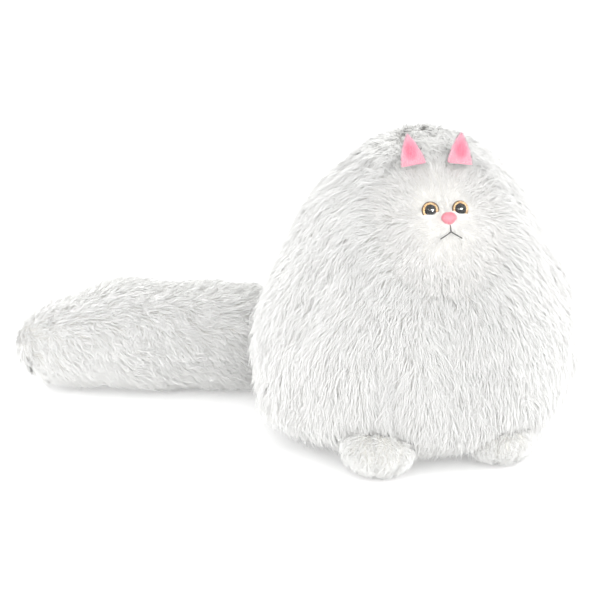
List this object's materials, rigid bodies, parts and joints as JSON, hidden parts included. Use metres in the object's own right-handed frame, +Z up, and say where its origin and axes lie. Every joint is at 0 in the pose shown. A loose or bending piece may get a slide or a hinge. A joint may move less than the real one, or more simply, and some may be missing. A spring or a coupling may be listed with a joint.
{
  "type": "plush cat",
  "caption": "Round long-haired sitting plush cat with head and body in one, small face, clip-in eyes, two front paws and a long thick tail that swings and bends.",
  "frame": {"origin": "centre of the flat panel under the body, on the surface the cat sits on", "axes": "+Z up, -Y is where the cat looks, +X is the cat's left side"},
  "size_m": [0.4988, 0.4192, 0.2952],
  "materials": {
    "long_pile": "long acrylic fur pile",
    "short_pile": "short soft pile",
    "fibre_fill": "polyester fibre",
    "ear_pink": "brushed minky",
    "nose_pink": "flocked",
    "thread_dark": "twisted polyester thread",
    "thread_white": "twisted polyester thread",
    "eye_clear": "clear polished acrylic",
    "eye_black": "polished",
    "eye_gold": "fine glitter",
    "washer_plastic": "moulded"
  },
  "bodies": {
    "torso": {"front_left_panel": "long_pile", "front_right_panel": "long_pile", "side_left_panel": "long_pile", "side_right_panel": "long_pile", "back_left_panel": "long_pile", "back_right_panel": "long_pile", "base_panel": "short_pile", "closing_stitches": "thread_white", "body_stuffing": "fibre_fill", "face_left_panel": "short_pile", "face_right_panel": "short_pile", "muzzle_stuffing": "fibre_fill", "nose": "nose_pink", "mouth_stitches": "thread_dark", "eye_dome_left": "eye_clear", "eye_pupil_left": "eye_black", "eye_iris_left": "eye_gold", "eye_washer_left": "washer_plastic", "eye_dome_right": "eye_clear", "eye_pupil_right": "eye_black", "eye_iris_right": "eye_gold", "eye_washer_right": "washer_plastic"},
    "ear_left": {"ear_inner_left": "ear_pink", "ear_back_left": "long_pile"},
    "paw_left": {"paw_cover_left": "short_pile", "paw_sole_left": "short_pile", "paw_stuffing_left": "fibre_fill", "toe_stitches_left": "thread_white"},
    "ear_right": {"ear_inner_right": "ear_pink", "ear_back_right": "long_pile"},
    "paw_right": {"paw_cover_right": "short_pile", "paw_sole_right": "short_pile", "paw_stuffing_right": "fibre_fill", "toe_stitches_right": "thread_white"},
    "tail_root": {"tail_root_stuffing": "fibre_fill"},
    "tail_base": {"tail_top_base": "long_pile", "tail_under_base": "long_pile", "tail_stuffing_base": "fibre_fill"},
    "tail_middle": {"tail_top_middle": "long_pile", "tail_under_middle": "long_pile", "tail_stuffing_middle": "fibre_fill"},
    "tail_tip": {"tail_top_tip": "long_pile", "tail_under_tip": "long_pile", "tail_stuffing_tip": "fibre_fill"}
  },
  "joints": [
    {"name": "tail_swing", "type": "hinge", "parent": "torso", "child": "tail_root", "pos_m": [0, 0.161, 0.057], "axis": [0, 0, 1], "range_deg": [-160, 0]},
    {"name": "tail_lift", "type": "hinge", "parent": "tail_root", "child": "tail_base", "pos_m": [0, 0.161, 0.057], "axis": [0.1736, 0.9848, 0], "range_deg": [0, 45]},
    {"name": "tail_middle_bend", "type": "hinge", "parent": "tail_base", "child": "tail_middle", "pos_m": [-0.11325, 0.18097, 0.057], "axis": [0, 0, 1], "range_deg": [-20, 20], "stiffness_Nm_per_rad": 0.04},
    {"name": "tail_tip_bend", "type": "hinge", "parent": "tail_middle", "child": "tail_tip", "pos_m": [-0.22574, 0.20488, 0.057], "axis": [0, 0, 1], "range_deg": [-20, 20], "stiffness_Nm_per_rad": 0.02},
    {"name": "ear_fold_left", "type": "hinge", "parent": "torso", "child": "ear_left", "pos_m": [0.021, -0.0775, 0.269], "axis": [1, 0, 0], "range_deg": [-16, 50], "stiffness_Nm_per_rad": 0.004},
    {"name": "ear_fold_right", "type": "hinge", "parent": "torso", "child": "ear_right", "pos_m": [-0.021, -0.0775, 0.269], "axis": [1, 0, 0], "range_deg": [-16, 50], "stiffness_Nm_per_rad": 0.004},
    {"name": "paw_lift_left", "type": "hinge", "parent": "torso", "child": "paw_left", "pos_m": [0.06, -0.1315, 0.041], "axis": [-1, 0, 0], "range_deg": [0, 28], "stiffness_Nm_per_rad": 0.03},
    {"name": "paw_lift_right", "type": "hinge", "parent": "torso", "child": "paw_right", "pos_m": [-0.06, -0.1315, 0.041], "axis": [-1, 0, 0], "range_deg": [0, 28], "stiffness_Nm_per_rad": 0.03}
  ]
}
